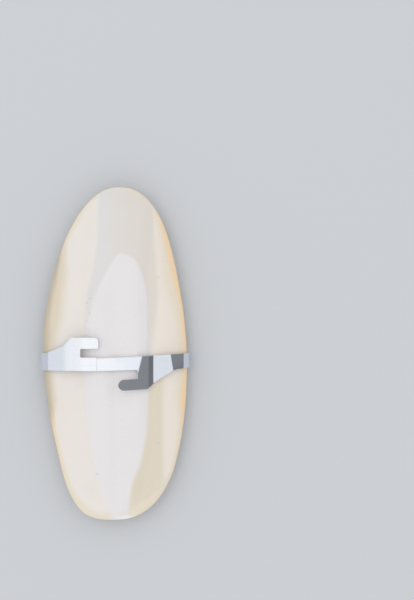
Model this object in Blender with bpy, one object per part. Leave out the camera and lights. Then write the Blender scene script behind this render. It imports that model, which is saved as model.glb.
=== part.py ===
"""A cuttlebone lying on its back, with the sheet-metal cage clip wrapped round its waist.

The frame has +Z up, +Y towards the bone's front end and +X to the right, seen from above.
The origin is on the surface that the bone lies on, under the middle of the object.
Lengths are in metres. The chalky side of the bone faces up and its hard back faces down.
"""

import math

import bmesh
import bpy

MM = 0.001

# The bone's outline. "Along" runs from -1 at the rear tip to +1 at the front tip.
BONE_LENGTH = 115.0 * MM
BONE_HALF_WIDTH = 24.8 * MM
FRONT_POWER = 2.16  # how blunt the front end's superellipse is
REAR_POWER = 2.7
FRONT_TAPER = 0.06  # share of the width lost towards the end
REAR_TAPER = 0.07
TAPER_REACH = 0.7
# The midline wanders to each side: X is this polynomial of "along", in millimetres
MIDLINE = (-0.13, -1.51, 3.17, 2.89, -2.80)
BONE_SEGMENTS = 64
BONE_RINGS = 52

# The bone's heights above the surface that it lies on
MARGIN_HEIGHT = 4.6 * MM  # the thin edge at the waist
MARGIN_SPRING = 1.6 * MM  # the tips curl up by this much more
RIM_HALF_THICKNESS = 0.6 * MM
RIM_POWER = 16  # how late the edge starts to round over
KEEL_POWER = 5  # the back's midline is flat in the middle and rises to the tips
BACK_ROUNDNESS = 2.2
WING_HEIGHT = 6.1 * MM  # from the edge up to the shelf on each side
WING_POWER = 3.2
REAR_WING_LOSS = 0.3
CORE_HEIGHT = 1.5 * MM  # the raised chalky core above the shelf
CORE_FRONT_POWER = 3.5
CORE_REAR_POWER = 1.8
CORE_HALF_WIDTH = 9.8 * MM
CORE_SLOPE = 2.8 * MM  # half the width of the core's flank
CORE_REAR_TIP = -0.97

# The striated zone on the core: a lens whose front is a pointed arch that leans to the
# right, nearly straight down its left side and steep down its right
ARCH_TIP = 0.60
ARCH_LEAN = 1.8 * MM
ARCH_LEFT = (10.9 * MM, 1.7, 1.3)  # half width, then the powers along and across
ARCH_RIGHT = (11.1 * MM, 3.4, 2.0)
ARCH_REAR_POWERS = (2.4, 1.6)
ARCH_BLEND = 3.0 * MM  # each side of the arch's axis, where the two sides meet
ARCH_STEP = 0.3 * MM
GROOVE_DEPTH = 0.45 * MM  # the shallow groove down the middle of the zone
GROOVE_HALF_WIDTH = 2.4 * MM
CONE_RIDGE = 0.35 * MM  # the rim round the rear of the zone
REAR_LIP = 0.4 * MM  # the thickened edge of the rear end

# Two faint furrows on the hard back, either side of its midline
FURROW_DEPTH = 0.22 * MM
FURROW_OFFSET = 5.2 * MM
FURROW_HALF_WIDTH = 1.7 * MM

# The clip is one strip of thin plate
PLATE = 0.45 * MM
GAP = 0.3 * MM
BAND_MIDDLE = -2.6 * MM  # the band round the back, along Y
BAND_HALF_WIDTH = 2.5 * MM
SEAT_HALF_LENGTH = 6.0 * MM  # the worn seat across the back that takes the band
SEAT_RUNOUT = 7.0 * MM
SEAT_FLOOR = PLATE + GAP + 0.05 * MM
BEND_STEP = math.radians(14)
CORNER_STEP = math.radians(30)
BEND_TOUCH = 0.01 * MM  # a point this close to a bend's line lies on it

# The strip's middle surface seen from the rear: (X, Z, bend radius), from the left end
# over the left flank, round the back and up the right flank to the end of the right arm
LEFT_TIP = (-5.5 * MM, 14.5 * MM, 0.0)
LEFT_FLANK = (
    (-10.0 * MM, 14.5 * MM, 9.0 * MM),
    (-18.0 * MM, 11.5 * MM, 12.0 * MM),
    (-22.9 * MM, 7.7 * MM, 5.0 * MM),
)
LEFT_MARGIN = (-25.72 * MM, 4.7 * MM, 1.0 * MM)
LEFT_UNDER = (-24.65 * MM, 2.9 * MM, 1.6 * MM)
LEFT_FLOOR = (-14.2 * MM, 0.5 * PLATE, 8.0 * MM)
RIGHT_FLOOR = (14.0 * MM, 0.5 * PLATE, 8.0 * MM)
RIGHT_UNDER = (24.4 * MM, 2.9 * MM, 1.6 * MM)
RIGHT_MARGIN = (25.55 * MM, 4.7 * MM, 1.0 * MM)
RIGHT_FLANK = (23.5 * MM, 7.6 * MM, 0.8 * MM)
RIGHT_CREASE = (19.6 * MM, 10.1 * MM, 0.8 * MM)
RIGHT_RISE = (
    (13.2 * MM, 11.25 * MM, 0.6 * MM),
    (11.5 * MM, 12.5 * MM, 0.5 * MM),
)
ARM_FOLD = (8.9 * MM, 13.65 * MM, 0.6 * MM)
ARM_END = (-11.4 * MM, 13.55 * MM, 0.0)

# Two bends run askew: they move by this much (X, Z) per unit of Y from the band's middle,
# the crease in the plane in front of it and the arm's fold in the plane behind it
CREASE_DRIFT = (-0.17, 0.0305)
FOLD_DRIFT = (0.25, -0.111)

# Each end of the strip is stamped into an arm and a hooked finger with a slot between
ARM_WIDTH = 4.6 * MM
SLOT_WIDTH = 3.0 * MM
FINGER_WIDTH = 3.8 * MM
SLOT_RADIUS = 0.5 * MM
LEFT_EDGE = -5.87 * MM  # the left end's straight side, along Y
LEFT_ARM_START = 0.5 * MM  # the arm is this much shorter than the finger
LEFT_SLOT_DEPTH = 6.2 * MM
LEFT_FINGER = 9.7 * MM  # from the tip back to the shoulder
LEFT_SHOULDER = ((10.55 * MM, 8.4 * MM), (3.15 * MM, 6.1 * MM))  # (from the margin, from the edge)
RIGHT_EDGE = 0.15 * MM
RIGHT_ROOT = 4.9 * MM  # the strip's width where the right end starts, at the margin
RIGHT_TILT = 0.05  # the right end runs slightly askew
RIGHT_SLOT_DEPTH = 7.3 * MM
RIGHT_FINGER = 10.8 * MM
RIGHT_REACH = 27.9 * MM  # from the margin to the finger's tip
ARM_REACH = 36.3 * MM  # from the margin to the arm's end
TOE_RADIUS = 1.85 * MM  # the right finger's end is nearly a half circle
RIGHT_SHOULDER = ((13.6 * MM, 8.9 * MM), (7.2 * MM, 5.3 * MM))
BAND_BLEND = 3.0 * MM  # past the margin, where the ends' widths meet the band's

CHALK = (0.83, 0.80, 0.75, 1.0)
TIN = (0.80, 0.81, 0.83, 1.0)


def clear_scene():
    for obj in list(bpy.data.objects):
        bpy.data.objects.remove(obj)


def material(name, colour, roughness, metallic):
    made = bpy.data.materials.new(name)
    made.use_nodes = True
    shader = made.node_tree.nodes["Principled BSDF"]
    shader.inputs["Base Color"].default_value = colour
    shader.inputs["Roughness"].default_value = roughness
    shader.inputs["Metallic"].default_value = metallic
    return made


def ramp(low, high, value):
    """0 up to low, 1 from high on, and a smooth rise between them."""
    share = min(1.0, max(0.0, (value - low) / (high - low)))
    return share * share * (3.0 - 2.0 * share)


def bell(offset, half_width):
    """1 at no offset, falling off on both sides."""
    return math.exp(-((offset / half_width) ** 2))


def end_shape(along):
    """The power and the taper of the end that this station belongs to."""
    if along > 0.0:
        return FRONT_POWER, FRONT_TAPER
    return REAR_POWER, REAR_TAPER


def half_width(along):
    power, taper = end_shape(along)
    round_end = max(0.0, 1.0 - abs(along) ** power) ** (1.0 / power)
    return BONE_HALF_WIDTH * round_end * (1.0 - taper * ramp(0.0, TAPER_REACH, abs(along)))


def midline(along):
    return MM * sum(factor * along**power for power, factor in enumerate(MIDLINE))


def reach(along, across):
    """0 at the middle of the bone and 1 all round its edge, the tips included."""
    power, _ = end_shape(along)
    length_part = min(1.0, abs(along)) ** power
    return (length_part + abs(across) ** power * (1.0 - length_part)) ** (1.0 / power)


def edge_height(along):
    return MARGIN_HEIGHT + MARGIN_SPRING * along * along


def rim(share):
    return RIM_HALF_THICKNESS * math.sqrt(max(0.0, 1.0 - share**RIM_POWER))


def arch(along, x):
    """Under 1 inside the striated zone, 1 on its outline and more outside."""
    aside = x - ARCH_LEAN * max(0.0, along) / ARCH_TIP
    right = ramp(-ARCH_BLEND, ARCH_BLEND, aside)
    side, along_power, across_power = (
        left * (1.0 - right) + other * right for left, other in zip(ARCH_LEFT, ARCH_RIGHT)
    )
    rear_along, rear_across = ARCH_REAR_POWERS
    tip = ARCH_TIP if along > 0.0 else -CORE_REAR_TIP
    power = along_power if along > 0.0 else rear_along
    across_power += (rear_across - across_power) * ramp(0.15, -0.15, along)
    return abs(along / tip) ** power + abs(aside / side) ** across_power


def core_half_width(along):
    """The core keeps its width to the front end and narrows to a point at the rear."""
    if along > 0.0:
        return CORE_HALF_WIDTH
    return CORE_HALF_WIDTH * max(0.0, 1.0 - (along / CORE_REAR_TIP) ** 4) ** 0.5


def core_height(along):
    power = CORE_FRONT_POWER if along > 0.0 else CORE_REAR_POWER
    return CORE_HEIGHT * (1.0 - abs(along) ** power)


def upper_height(along, across, x):
    """The chalky side: thin edge, shelf, raised core, then the striated zone's fine relief."""
    share = reach(along, across)
    wing = WING_HEIGHT * (1.0 - REAR_WING_LOSS * ramp(0.0, 1.0, -along))
    side = core_half_width(along)
    inside_core = 1.0 - ramp(side - CORE_SLOPE, side + CORE_SLOPE, abs(x))
    inside_arch = 1.0 - ramp(0.8, 1.1, arch(along, x))
    height = edge_height(along) + rim(share) + wing * (1.0 - share**WING_POWER)
    height += core_height(along) * inside_core
    height += ARCH_STEP * inside_arch * ramp(-0.5, 0.2, along)
    height -= GROOVE_DEPTH * inside_arch * bell(x, GROOVE_HALF_WIDTH) * ramp(0.5, 0.2, along)
    height += CONE_RIDGE * bell(arch(along, x) - 1.0, 0.25) * ramp(-0.35, -0.7, along)
    return height + REAR_LIP * bell(share - 0.95, 0.04) * ramp(-0.6, -0.85, along)


def lower_height(along, across, x):
    """The hard back: a shallow hull, flat along its middle, with the clip's worn seat."""
    share = reach(along, across)
    keel = edge_height(1.0) * abs(along) ** KEEL_POWER
    depth = edge_height(along) - keel - rim(abs(along))
    height = edge_height(along) - depth * (1.0 - abs(across) ** BACK_ROUNDNESS) - rim(share)
    furrow = bell(abs(x) - FURROW_OFFSET, FURROW_HALF_WIDTH) * (1.0 - ramp(0.5, 0.85, abs(along)))
    height += FURROW_DEPTH * furrow
    from_band = abs(along * BONE_LENGTH / 2.0 - BAND_MIDDLE)
    seat = 1.0 - ramp(SEAT_HALF_LENGTH, SEAT_HALF_LENGTH + SEAT_RUNOUT, from_band)
    return height + seat * max(0.0, SEAT_FLOOR - height)


def add_object(name, mesh, finish, collection):
    obj = bpy.data.objects.new(name, mesh)
    mesh.materials.append(finish)
    mesh.shade_smooth()
    mesh.set_sharp_from_angle(angle=math.radians(35))
    collection.objects.link(obj)
    return obj


def make_bone(collection):
    """A UV sphere with its poles at the two tips, pressed to the bone's two surfaces."""
    mesh = bpy.data.meshes.new("cuttlebone")
    shell = bmesh.new()
    bmesh.ops.create_uvsphere(shell, u_segments=BONE_SEGMENTS, v_segments=BONE_RINGS, radius=1.0)
    for vertex in shell.verts:
        side, up, along = vertex.co
        girth = math.hypot(side, up)
        across = side / girth if girth > 1e-6 else 0.0
        offset = across * half_width(along)
        surface = upper_height if up > 0.0 else lower_height
        height = edge_height(along) if abs(up) < 1e-6 else surface(along, across, offset)
        vertex.co = (midline(along) + offset, along * BONE_LENGTH / 2.0, height)
    bmesh.ops.recalc_face_normals(shell, faces=shell.faces)
    shell.to_mesh(mesh)
    shell.free()
    return add_object("cuttlebone", mesh, material("chalk", CHALK, 0.85, 0.0), collection)


def rounded(corners, step, closed):
    """The corners (a, b, radius) as a list of points, each corner replaced by its arc."""
    points = []
    count = len(corners)
    for index, (a, b, radius) in enumerate(corners):
        if radius == 0.0 or (not closed and index in (0, count - 1)):
            points.append((a, b))
            continue
        before, after = corners[index - 1], corners[(index + 1) % count]
        came = math.atan2(b - before[1], a - before[0])
        goes = math.atan2(after[1] - b, after[0] - a)
        turn = (goes - came + math.pi) % math.tau - math.pi
        room = 0.49 * min(math.dist((a, b), before[:2]), math.dist((a, b), after[:2]))
        cut = min(radius * math.tan(abs(turn) / 2.0), room)
        radius = cut / math.tan(abs(turn) / 2.0)
        side = math.copysign(math.pi / 2.0, turn)
        start = (a - cut * math.cos(came), b - cut * math.sin(came))
        centre = (start[0] + radius * math.cos(came + side), start[1] + radius * math.sin(came + side))
        parts = max(1, math.ceil(abs(turn) / step))
        for part in range(parts + 1):
            heading = came + turn * part / parts - side
            points.append((centre[0] + radius * math.cos(heading), centre[1] + radius * math.sin(heading)))
    return points


class Route:
    """The strip's middle line across the bone, read by the length along it."""

    def __init__(self, corners):
        self.points = rounded(corners, BEND_STEP, closed=False)
        self.stations = [0.0]
        for before, after in zip(self.points, self.points[1:]):
            self.stations.append(self.stations[-1] + math.dist(before, after))

    def heading(self, index):
        (x0, z0), (x1, z1) = self.points[index], self.points[index + 1]
        return math.atan2(z1 - z0, x1 - x0)

    def station_near(self, corner):
        """The length at the point of the line that is closest to this corner."""
        nearest = min(range(len(self.points)), key=lambda i: math.dist(self.points[i], corner[:2]))
        return self.stations[nearest]

    def at(self, length, offset):
        """(X, Z) at this length, moved outwards by offset. Past the end it runs straight on."""
        last = len(self.stations) - 2
        index = next((i for i in range(last) if length < self.stations[i + 1]), last)
        start, end = self.stations[index], self.stations[index + 1]
        share = (length - start) / (end - start)
        (x0, z0), (x1, z1) = self.points[index], self.points[index + 1]
        heading = self.heading(index)
        lean = 0.0
        if length - start < BEND_TOUCH and index > 0:
            lean = (self.heading(index - 1) - heading) / 2.0
        elif end - length < BEND_TOUCH and index < last:
            lean = (self.heading(index + 1) - heading) / 2.0
        lean = (lean + math.pi / 2.0) % math.pi - math.pi / 2.0
        out = offset / math.cos(lean)
        x = x0 + share * (x1 - x0) + out * math.sin(heading + lean)
        z = z0 + share * (z1 - z0) - out * math.cos(heading + lean)
        return x, z


def moved(corner, drift, y):
    """The corner of a bend that runs askew, at this Y."""
    x, z, radius = corner
    return x + drift[0] * (y - BAND_MIDDLE), z + drift[1] * (y - BAND_MIDDLE), radius


def clip_route(y, end=(ARM_END,)):
    """The strip's route at this Y. With no end, it runs on straight where the arm folds down."""
    corners = [LEFT_TIP, *LEFT_FLANK, LEFT_MARGIN, LEFT_UNDER, LEFT_FLOOR]
    corners += [RIGHT_FLOOR, RIGHT_UNDER, RIGHT_MARGIN, RIGHT_FLANK]
    corners += [moved(RIGHT_CREASE, CREASE_DRIFT, y), *RIGHT_RISE]
    return Route([*corners, moved(ARM_FOLD, FOLD_DRIFT, y), *end])


def blank_corners(route):
    """The flat strip before bending, as (length along it, Y, corner radius), round its outline."""
    left = route.station_near(LEFT_MARGIN)
    right = route.station_near(RIGHT_MARGIN)
    finger = ARM_WIDTH + SLOT_WIDTH
    low, high = BAND_MIDDLE - BAND_HALF_WIDTH, BAND_MIDDLE + BAND_HALF_WIDTH

    def left_point(along, height, radius):
        return left - along, LEFT_EDGE + height, radius

    def right_point(along, height, radius):
        return right + along, RIGHT_EDGE - height - RIGHT_TILT * along, radius

    left_end = [
        (left + BAND_BLEND, low, 0.0),
        left_point(0.0, 0.0, 0.0),
        (LEFT_ARM_START, LEFT_EDGE, 0.25 * MM),
        (LEFT_ARM_START, LEFT_EDGE + ARM_WIDTH, 0.25 * MM),
        (LEFT_SLOT_DEPTH, LEFT_EDGE + ARM_WIDTH, SLOT_RADIUS),
        (LEFT_SLOT_DEPTH, LEFT_EDGE + finger, SLOT_RADIUS),
        (0.0, LEFT_EDGE + finger, 0.4 * MM),
        (0.0, LEFT_EDGE + finger + FINGER_WIDTH, 1.1 * MM),
        (LEFT_FINGER, LEFT_EDGE + finger + FINGER_WIDTH, 1.2 * MM),
        left_point(*LEFT_SHOULDER[0], 4.0 * MM),
        left_point(*LEFT_SHOULDER[1], 3.0 * MM),
        (left + BAND_BLEND, high, 0.0),
    ]
    tip = RIGHT_REACH
    root = tip - RIGHT_SLOT_DEPTH
    right_end = [
        (right - BAND_BLEND, high, 0.0),
        right_point(0.0, 0.0, 0.0),
        right_point(ARM_REACH, 0.0, 0.25 * MM),
        right_point(ARM_REACH, ARM_WIDTH - 0.3 * MM, 0.25 * MM),
        right_point(root, ARM_WIDTH, SLOT_RADIUS),
        right_point(root, finger, SLOT_RADIUS),
        right_point(tip, finger, TOE_RADIUS),
        right_point(tip, finger + FINGER_WIDTH, TOE_RADIUS),
        right_point(tip - RIGHT_FINGER, finger + FINGER_WIDTH, 1.2 * MM),
        right_point(*RIGHT_SHOULDER[0], 3.0 * MM),
        right_point(*RIGHT_SHOULDER[1], 3.0 * MM),
        right_point(0.0, RIGHT_ROOT, 0.0),
        (right - BAND_BLEND, low, 0.0),
    ]
    return left_end + right_end


def stamped_blank(corners):
    """The outline as a filled flat curve of the plate's thickness, made a mesh."""
    curve = bpy.data.curves.new("clip_blank", "CURVE")
    curve.dimensions = "2D"
    curve.fill_mode = "BOTH"
    curve.extrude = PLATE / 2.0
    outline = rounded(corners, CORNER_STEP, closed=True)
    spline = curve.splines.new("POLY")
    spline.points.add(len(outline) - 1)
    for point, (u, y) in zip(spline.points, outline):
        point.co = (u, y, 0.0, 1.0)
    spline.use_cyclic_u = True
    flat = bpy.data.objects.new("clip_blank", curve)
    bpy.context.scene.collection.objects.link(flat)
    bpy.context.view_layer.update()
    graph = bpy.context.evaluated_depsgraph_get()
    mesh = bpy.data.meshes.new_from_object(flat.evaluated_get(graph))
    bpy.data.objects.remove(flat)
    return mesh


def make_clip(collection):
    """The flat blank is scored along each line of the bends, then wrapped along its route."""
    mesh = stamped_blank(blank_corners(clip_route(BAND_MIDDLE)))
    plate = bmesh.new()
    plate.from_mesh(mesh)
    bmesh.ops.remove_doubles(plate, verts=plate.verts, dist=0.002 * MM)
    bmesh.ops.dissolve_limit(plate, angle_limit=0.01, verts=plate.verts, edges=plate.edges)
    near, far = (BAND_MIDDLE + side * BAND_HALF_WIDTH for side in (-1, 1))
    for first, second in list(zip(clip_route(near).stations, clip_route(far).stations))[1:-1]:
        skew = (first - second) / (far - near)
        everything = [*plate.verts, *plate.edges, *plate.faces]
        middle = ((first + second) / 2.0, BAND_MIDDLE, 0.0)
        bmesh.ops.bisect_plane(plate, geom=everything, dist=1e-7, plane_co=middle, plane_no=(1.0, skew, 0.0))
    split = RIGHT_EDGE - ARM_WIDTH - SLOT_WIDTH / 2.0 - RIGHT_TILT * RIGHT_REACH
    for vertex in plate.verts:
        u, y, offset = vertex.co
        route = clip_route(y, ()) if y < split else clip_route(y)
        x, z = route.at(u, offset)
        vertex.co = (x, y, z)
    bmesh.ops.recalc_face_normals(plate, faces=plate.faces)
    if plate.calc_volume(signed=True) < 0.0:
        bmesh.ops.reverse_faces(plate, faces=plate.faces)
    plate.to_mesh(mesh)
    plate.free()
    return add_object("cage_clip", mesh, material("tinned plate", TIN, 0.2, 1.0), collection)


def main():
    clear_scene()
    collection = bpy.data.collections.new("cuttlebone with cage clip")
    bpy.context.scene.collection.children.link(collection)
    make_bone(collection)
    make_clip(collection)


main()
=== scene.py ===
"""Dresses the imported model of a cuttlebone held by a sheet-metal cage clip.

Lengths are in metres, +Z is up and +Y runs towards the bone's front end. The bone's chalky
side faces up. Each piece is one mesh with its place in its own vertices.
"""

import math

import bpy
import numpy as np
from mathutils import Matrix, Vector


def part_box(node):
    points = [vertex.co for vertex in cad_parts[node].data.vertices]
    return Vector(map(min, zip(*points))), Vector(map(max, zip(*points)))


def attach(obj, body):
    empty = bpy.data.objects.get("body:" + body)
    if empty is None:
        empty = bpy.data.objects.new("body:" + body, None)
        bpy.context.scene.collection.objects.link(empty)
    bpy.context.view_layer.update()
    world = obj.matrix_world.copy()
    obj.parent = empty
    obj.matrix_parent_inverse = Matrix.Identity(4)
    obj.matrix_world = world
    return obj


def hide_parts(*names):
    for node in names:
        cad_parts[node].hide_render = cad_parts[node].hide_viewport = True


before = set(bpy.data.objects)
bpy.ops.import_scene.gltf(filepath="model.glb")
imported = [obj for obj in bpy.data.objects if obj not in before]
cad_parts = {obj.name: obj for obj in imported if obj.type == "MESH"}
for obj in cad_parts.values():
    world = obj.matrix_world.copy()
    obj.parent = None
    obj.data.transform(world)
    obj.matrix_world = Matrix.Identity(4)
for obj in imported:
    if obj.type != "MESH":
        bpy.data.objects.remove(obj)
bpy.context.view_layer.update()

bl_info = {
    "name": "Cuttlebone with cage clip",
    "version": (1, 0, 0),
    "blender": (4, 5, 0),
    "location": "3D View > Sidebar > Cuttlebone",
    "description": "Makes a cuttlebone, the bent plate clip round its waist and a pale stage",
    "category": "Add Mesh",
}

MM = 0.001


def mm(*lengths):
    """Lengths in millimetres as a tuple of metres."""
    return tuple(length * MM for length in lengths)


# The bone's outline. "Along" runs from -1 at the rear tip to +1 at the front tip.
BONE_LOW, BONE_HIGH = (Vector(corner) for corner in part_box("cuttlebone"))
BONE_LENGTH = BONE_HIGH.y - BONE_LOW.y
BONE_HALF_WIDTH = 24.8 * MM
FRONT_POWER = 2.16  # how blunt the front end's superellipse is
REAR_POWER = 2.7
FRONT_TAPER = 0.06  # share of the width lost towards the end
REAR_TAPER = 0.07
TAPER_REACH = 0.7
# The midline wanders to each side: X is this polynomial of "along", in millimetres
MIDLINE = (-0.13, -1.51, 3.17, 2.89, -2.80)

# The bone's heights above the surface that it lies on
MARGIN_HEIGHT = 4.6 * MM
MARGIN_SPRING = 1.6 * MM
RIM_HALF_THICKNESS = 0.6 * MM
RIM_POWER = 16
KEEL_POWER = 5
BACK_ROUNDNESS = 2.2
WING_HEIGHT = 6.1 * MM
WING_POWER = 3.2
REAR_WING_LOSS = 0.3
CORE_HEIGHT = 1.5 * MM
CORE_FRONT_POWER = 3.5
CORE_REAR_POWER = 1.8
CORE_HALF_WIDTH = 9.8 * MM
CORE_SLOPE = 2.8 * MM
CORE_REAR_TIP = -0.97
CORE_REAR_ROUNDNESS = 4

# The striated zone: a lens whose front is a pointed arch that leans to the right, nearly
# straight down its left side and steep down its right
ARCH_TIP = 0.60
ARCH_LEAN = 1.8 * MM
ARCH_LEFT = (10.9 * MM, 1.7, 1.3)  # half width, then the powers along and across
ARCH_RIGHT = (11.1 * MM, 3.4, 2.0)
ARCH_REAR_POWERS = (2.4, 1.6)
ARCH_REAR_BLEND = 0.15  # of "along" each side of the middle, where the rear power takes over
ARCH_BLEND = 3.0 * MM  # each side of the arch's axis, where the two sides meet
ARCH_STEP = 0.3 * MM
GROOVE_DEPTH = 0.45 * MM
GROOVE_HALF_WIDTH = 2.4 * MM
CONE_RIDGE = 0.35 * MM
CONE_RIDGE_HALF_WIDTH = 0.25  # of arch()
REAR_LIP = 0.4 * MM
REAR_LIP_PLACE = 0.95  # of reach()
REAR_LIP_HALF_WIDTH = 0.04
FURROW_DEPTH = 0.22 * MM
FURROW_OFFSET = 5.2 * MM
FURROW_HALF_WIDTH = 1.7 * MM
SEAT_HALF_LENGTH = 6.0 * MM
SEAT_RUNOUT = 7.0 * MM
SEAT_FLOOR = 0.80 * MM

# Between which two values each change takes place: of arch() for the first, and of "along"
# for the others, counted towards the front, the rear or both ends
ARCH_WALL = (0.8, 1.1)
ARCH_STEP_START = (-0.5, 0.2)
GROOVE_END = (0.2, 0.5)
CONE_RIDGE_START = (0.35, 0.7)
REAR_LIP_START = (0.6, 0.85)
FURROW_END = (0.5, 0.85)

# The bone's relief. A noise is (height, cell size across, cell size along, seed)
STRIA_POWER = 1.6
STRIA_WANDER = (0.35, 3.0 * MM, 5.0 * MM, 1)  # its height is in growth lines
STRIA_EDGE = (0.85, 1.0)  # of arch()
STRIA_SIDES = (0.5, 0.85)  # of the offset over the growth line's half width
SHELF_LINES = 34.0  # from the middle to the edge
SHELF_LINE_DEPTH = 0.4  # of a growth line's
SHELF_START = (0.55, 0.7)  # of reach()
SHELF_END = (0.97, 1.0)
CHALK_WAVES = (0.05 * MM, 2.6 * MM, 3.4 * MM, 2)
CHALK_WAVES_POWER = 8  # the higher, the nearer to the edge they run out
CHALK_GRAIN = (0.022 * MM, 0.9 * MM, 0.8 * MM, 3)
CHALK_GRAIN_POWER = 12
COARSE_GRANULES = (1.0, 1.5 * MM, 1.3 * MM, 4)
FINE_GRANULES = (1.0, 0.8 * MM, 0.8 * MM, 5)
GRANULE_DEPTH = 0.13 * MM
BACK_ARC_DEPTH = 0.05 * MM
BACK_ARCS = 22.0  # from the middle to the edge
BACK_EDGE = (0.86, 0.97)  # of reach(), where the granules run out
REAR_GRANULES = (0.6, -0.6)  # of "along", where the granules grow to their full depth
EDGE_RIPPLE = 0.10 * MM
EDGE_RIPPLE_CELL = 5.0 * MM
EDGE_RIPPLE_ROW = 7.5  # the noise's row for the right edge, and minus this for the left one
EDGE_RIPPLE_SEED = 6
NOISE_CELLS = 64
TINY = 1e-6  # keeps a division from meeting 0

# How wide the cream border and the horny edge are at each Y, in millimetres:
# (Y, left border, left edge, right border, right edge)
MARGINS = (
    (-57, 1.4, 0.3, 2.4, 0.3),
    (-52, 2.2, 0.4, 3.4, 0.4),
    (-46, 1.7, 0.5, 1.7, 0.4),
    (-41, 1.7, 0.5, 1.0, 0.5),
    (-33, 1.4, 0.7, 1.4, 0.6),
    (-27, 0.8, 1.0, 1.7, 0.7),
    (-22, 1.6, 1.4, 1.8, 1.1),
    (-16, 3.4, 1.7, 3.8, 2.2),
    (-8, 3.1, 2.0, 2.8, 1.4),
    (6, 4.8, 2.4, 2.8, 1.2),
    (12, 5.9, 2.0, 3.1, 1.2),
    (17, 5.9, 2.0, 3.8, 1.0),
    (23, 5.2, 2.0, 4.8, 1.7),
    (28, 4.5, 1.4, 4.8, 2.1),
    (34, 2.4, 0.8, 3.5, 2.1),
    (39, 0.9, 0.5, 2.8, 1.7),
    (45, 1.7, 0.4, 2.2, 0.9),
    (51, 0.8, 0.3, 1.0, 0.6),
    (57, 1.5, 0.3, 2.7, 1.0),
)
EDGE_WIDTHS = mm(0.1, 1.1)  # the edge's colour grows between these widths of it
BORDER_SPREAD = (1.5, 0.5)  # of the width, how deep the colour starts and is full
EDGE_SPREAD = (1.5, 0.2)
CORE_PALENESS = 0.7  # the share of both that the core takes away
PAINTED_TIP_HIGHLIGHT = mm(4.2, -56.9, 4.6, 0.9)  # a painted highlight on the rear tip's rim: its X, Y and two half sizes
PAINTED_TIP_HIGHLIGHT_COLOUR = (0.93, 0.92, 0.88)

# Where the colours change from rear to front and from left to right
SIDE_BLEND = 6.0 * MM  # each side of the middle
REAR_START = (0.0, -0.2)  # of "along"
FRONT_START = (0.0, 0.15)
STRIAE_RIM = (1.06, 0.94)  # of arch()
FRONT_TAN = 0.5  # how tan the front chamber's right side is
LEFT_SHADE_REAR = mm(-28.0, -16.0)  # between these two Ys the left border and edge get painted shade
LEFT_SHADE_FRONT = mm(42.0, 30.0)

# The core's sides, the line of pits left of it and single nicks: each line's pairs are (Y, X)
# in millimetres from the middle, and the nicks are (X, Y, half size)
CORE_LEFT_LINE = (
    (-52, -1.7), (-38, -5.9), (-20, -9.8), (7, -10.3), (20, -9.6), (30, -7.1), (40, -5.8),
)
CORE_RIGHT_LINE = (
    (-52, 5.1), (-45, 5.8), (-38, 8.9), (-28, 11.0),
    (-10, 11.9), (20, 14.7), (30, 14.1), (40, 13.3),
)
ZONE_BLEND = 1.0 * MM
TAN_END = mm(15.2, 18.0)  # X, where the tan band fades out
PIT_LINE = ((7, -10.0), (9, -9.6), (14, -9.1), (20, -8.7), (22, -8.6))
PIT_LINE_HALF_WIDTH = 0.8 * MM
PIT_LINE_REAR = mm(4.5, 7.5)  # Y, where the line fades in and out
PIT_LINE_FRONT = mm(19.5, 22.0)
NICKS = (
    mm(14.9, 26.2, 0.4),
    mm(14.7, -30.9, 0.4),
    mm(-6.2, -41.4, 0.4),
)
NICK_DEPTH = 0.1 * MM

# The bone's mesh: rings along it, and columns over its chalky side and its back
RINGS = 560
RING_EASE = 1.25
UPPER_COLUMNS = 112
LOWER_COLUMNS = 64
MIDDLE_DENSITY = 0.35  # columns move this much of their spacing from the edges to the middle
ON_EDGE = 1e-9  # a ring's point is on the edge where its angle's sine is nearer to 0

# The clip's middle surface seen from the rear: (X, Z, bend radius), from the left end
# over the left flank, round the back and up the right flank to the end of the right arm
PLATE = 0.45 * MM
LEFT_MARGIN = mm(-25.72, 4.7, 1.0)
RIGHT_MARGIN = mm(25.55, 4.7, 1.0)
CLIP_ROUTE = (
    mm(-5.5, 14.5, 0.0),
    mm(-10.0, 14.5, 9.0),
    mm(-18.0, 11.5, 12.0),
    mm(-22.9, 7.7, 5.0),
    LEFT_MARGIN,
    mm(-24.65, 2.9, 1.6),
    (-14.2 * MM, 0.5 * PLATE, 8.0 * MM),
    (14.0 * MM, 0.5 * PLATE, 8.0 * MM),
    mm(24.4, 2.9, 1.6),
    RIGHT_MARGIN,
    mm(23.5, 7.6, 0.8),
)
RIGHT_CREASE = mm(19.6, 10.1, 0.8)
RIGHT_RISE = (
    mm(13.2, 11.25, 0.6),
    mm(11.5, 12.5, 0.5),
)
ARM_FOLD = mm(8.9, 13.65, 0.6)
ARM_END = mm(-11.4, 13.55, 0.0)
FINGER_RUN = 20.0 * MM  # the finger runs on past the arm's fold for less than this
BEND_PARTS = 10
BEND_ROOM = 0.49  # of a straight run, what the bend at each of its ends may take

# Two bends run askew: they move by this much (X, Z) per unit of Y from the band's middle,
# the crease in the plane in front of it and the arm's fold in the plane behind it
CREASE_DRIFT = (-0.17, 0.0305)
FOLD_DRIFT = (0.25, -0.111)

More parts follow.
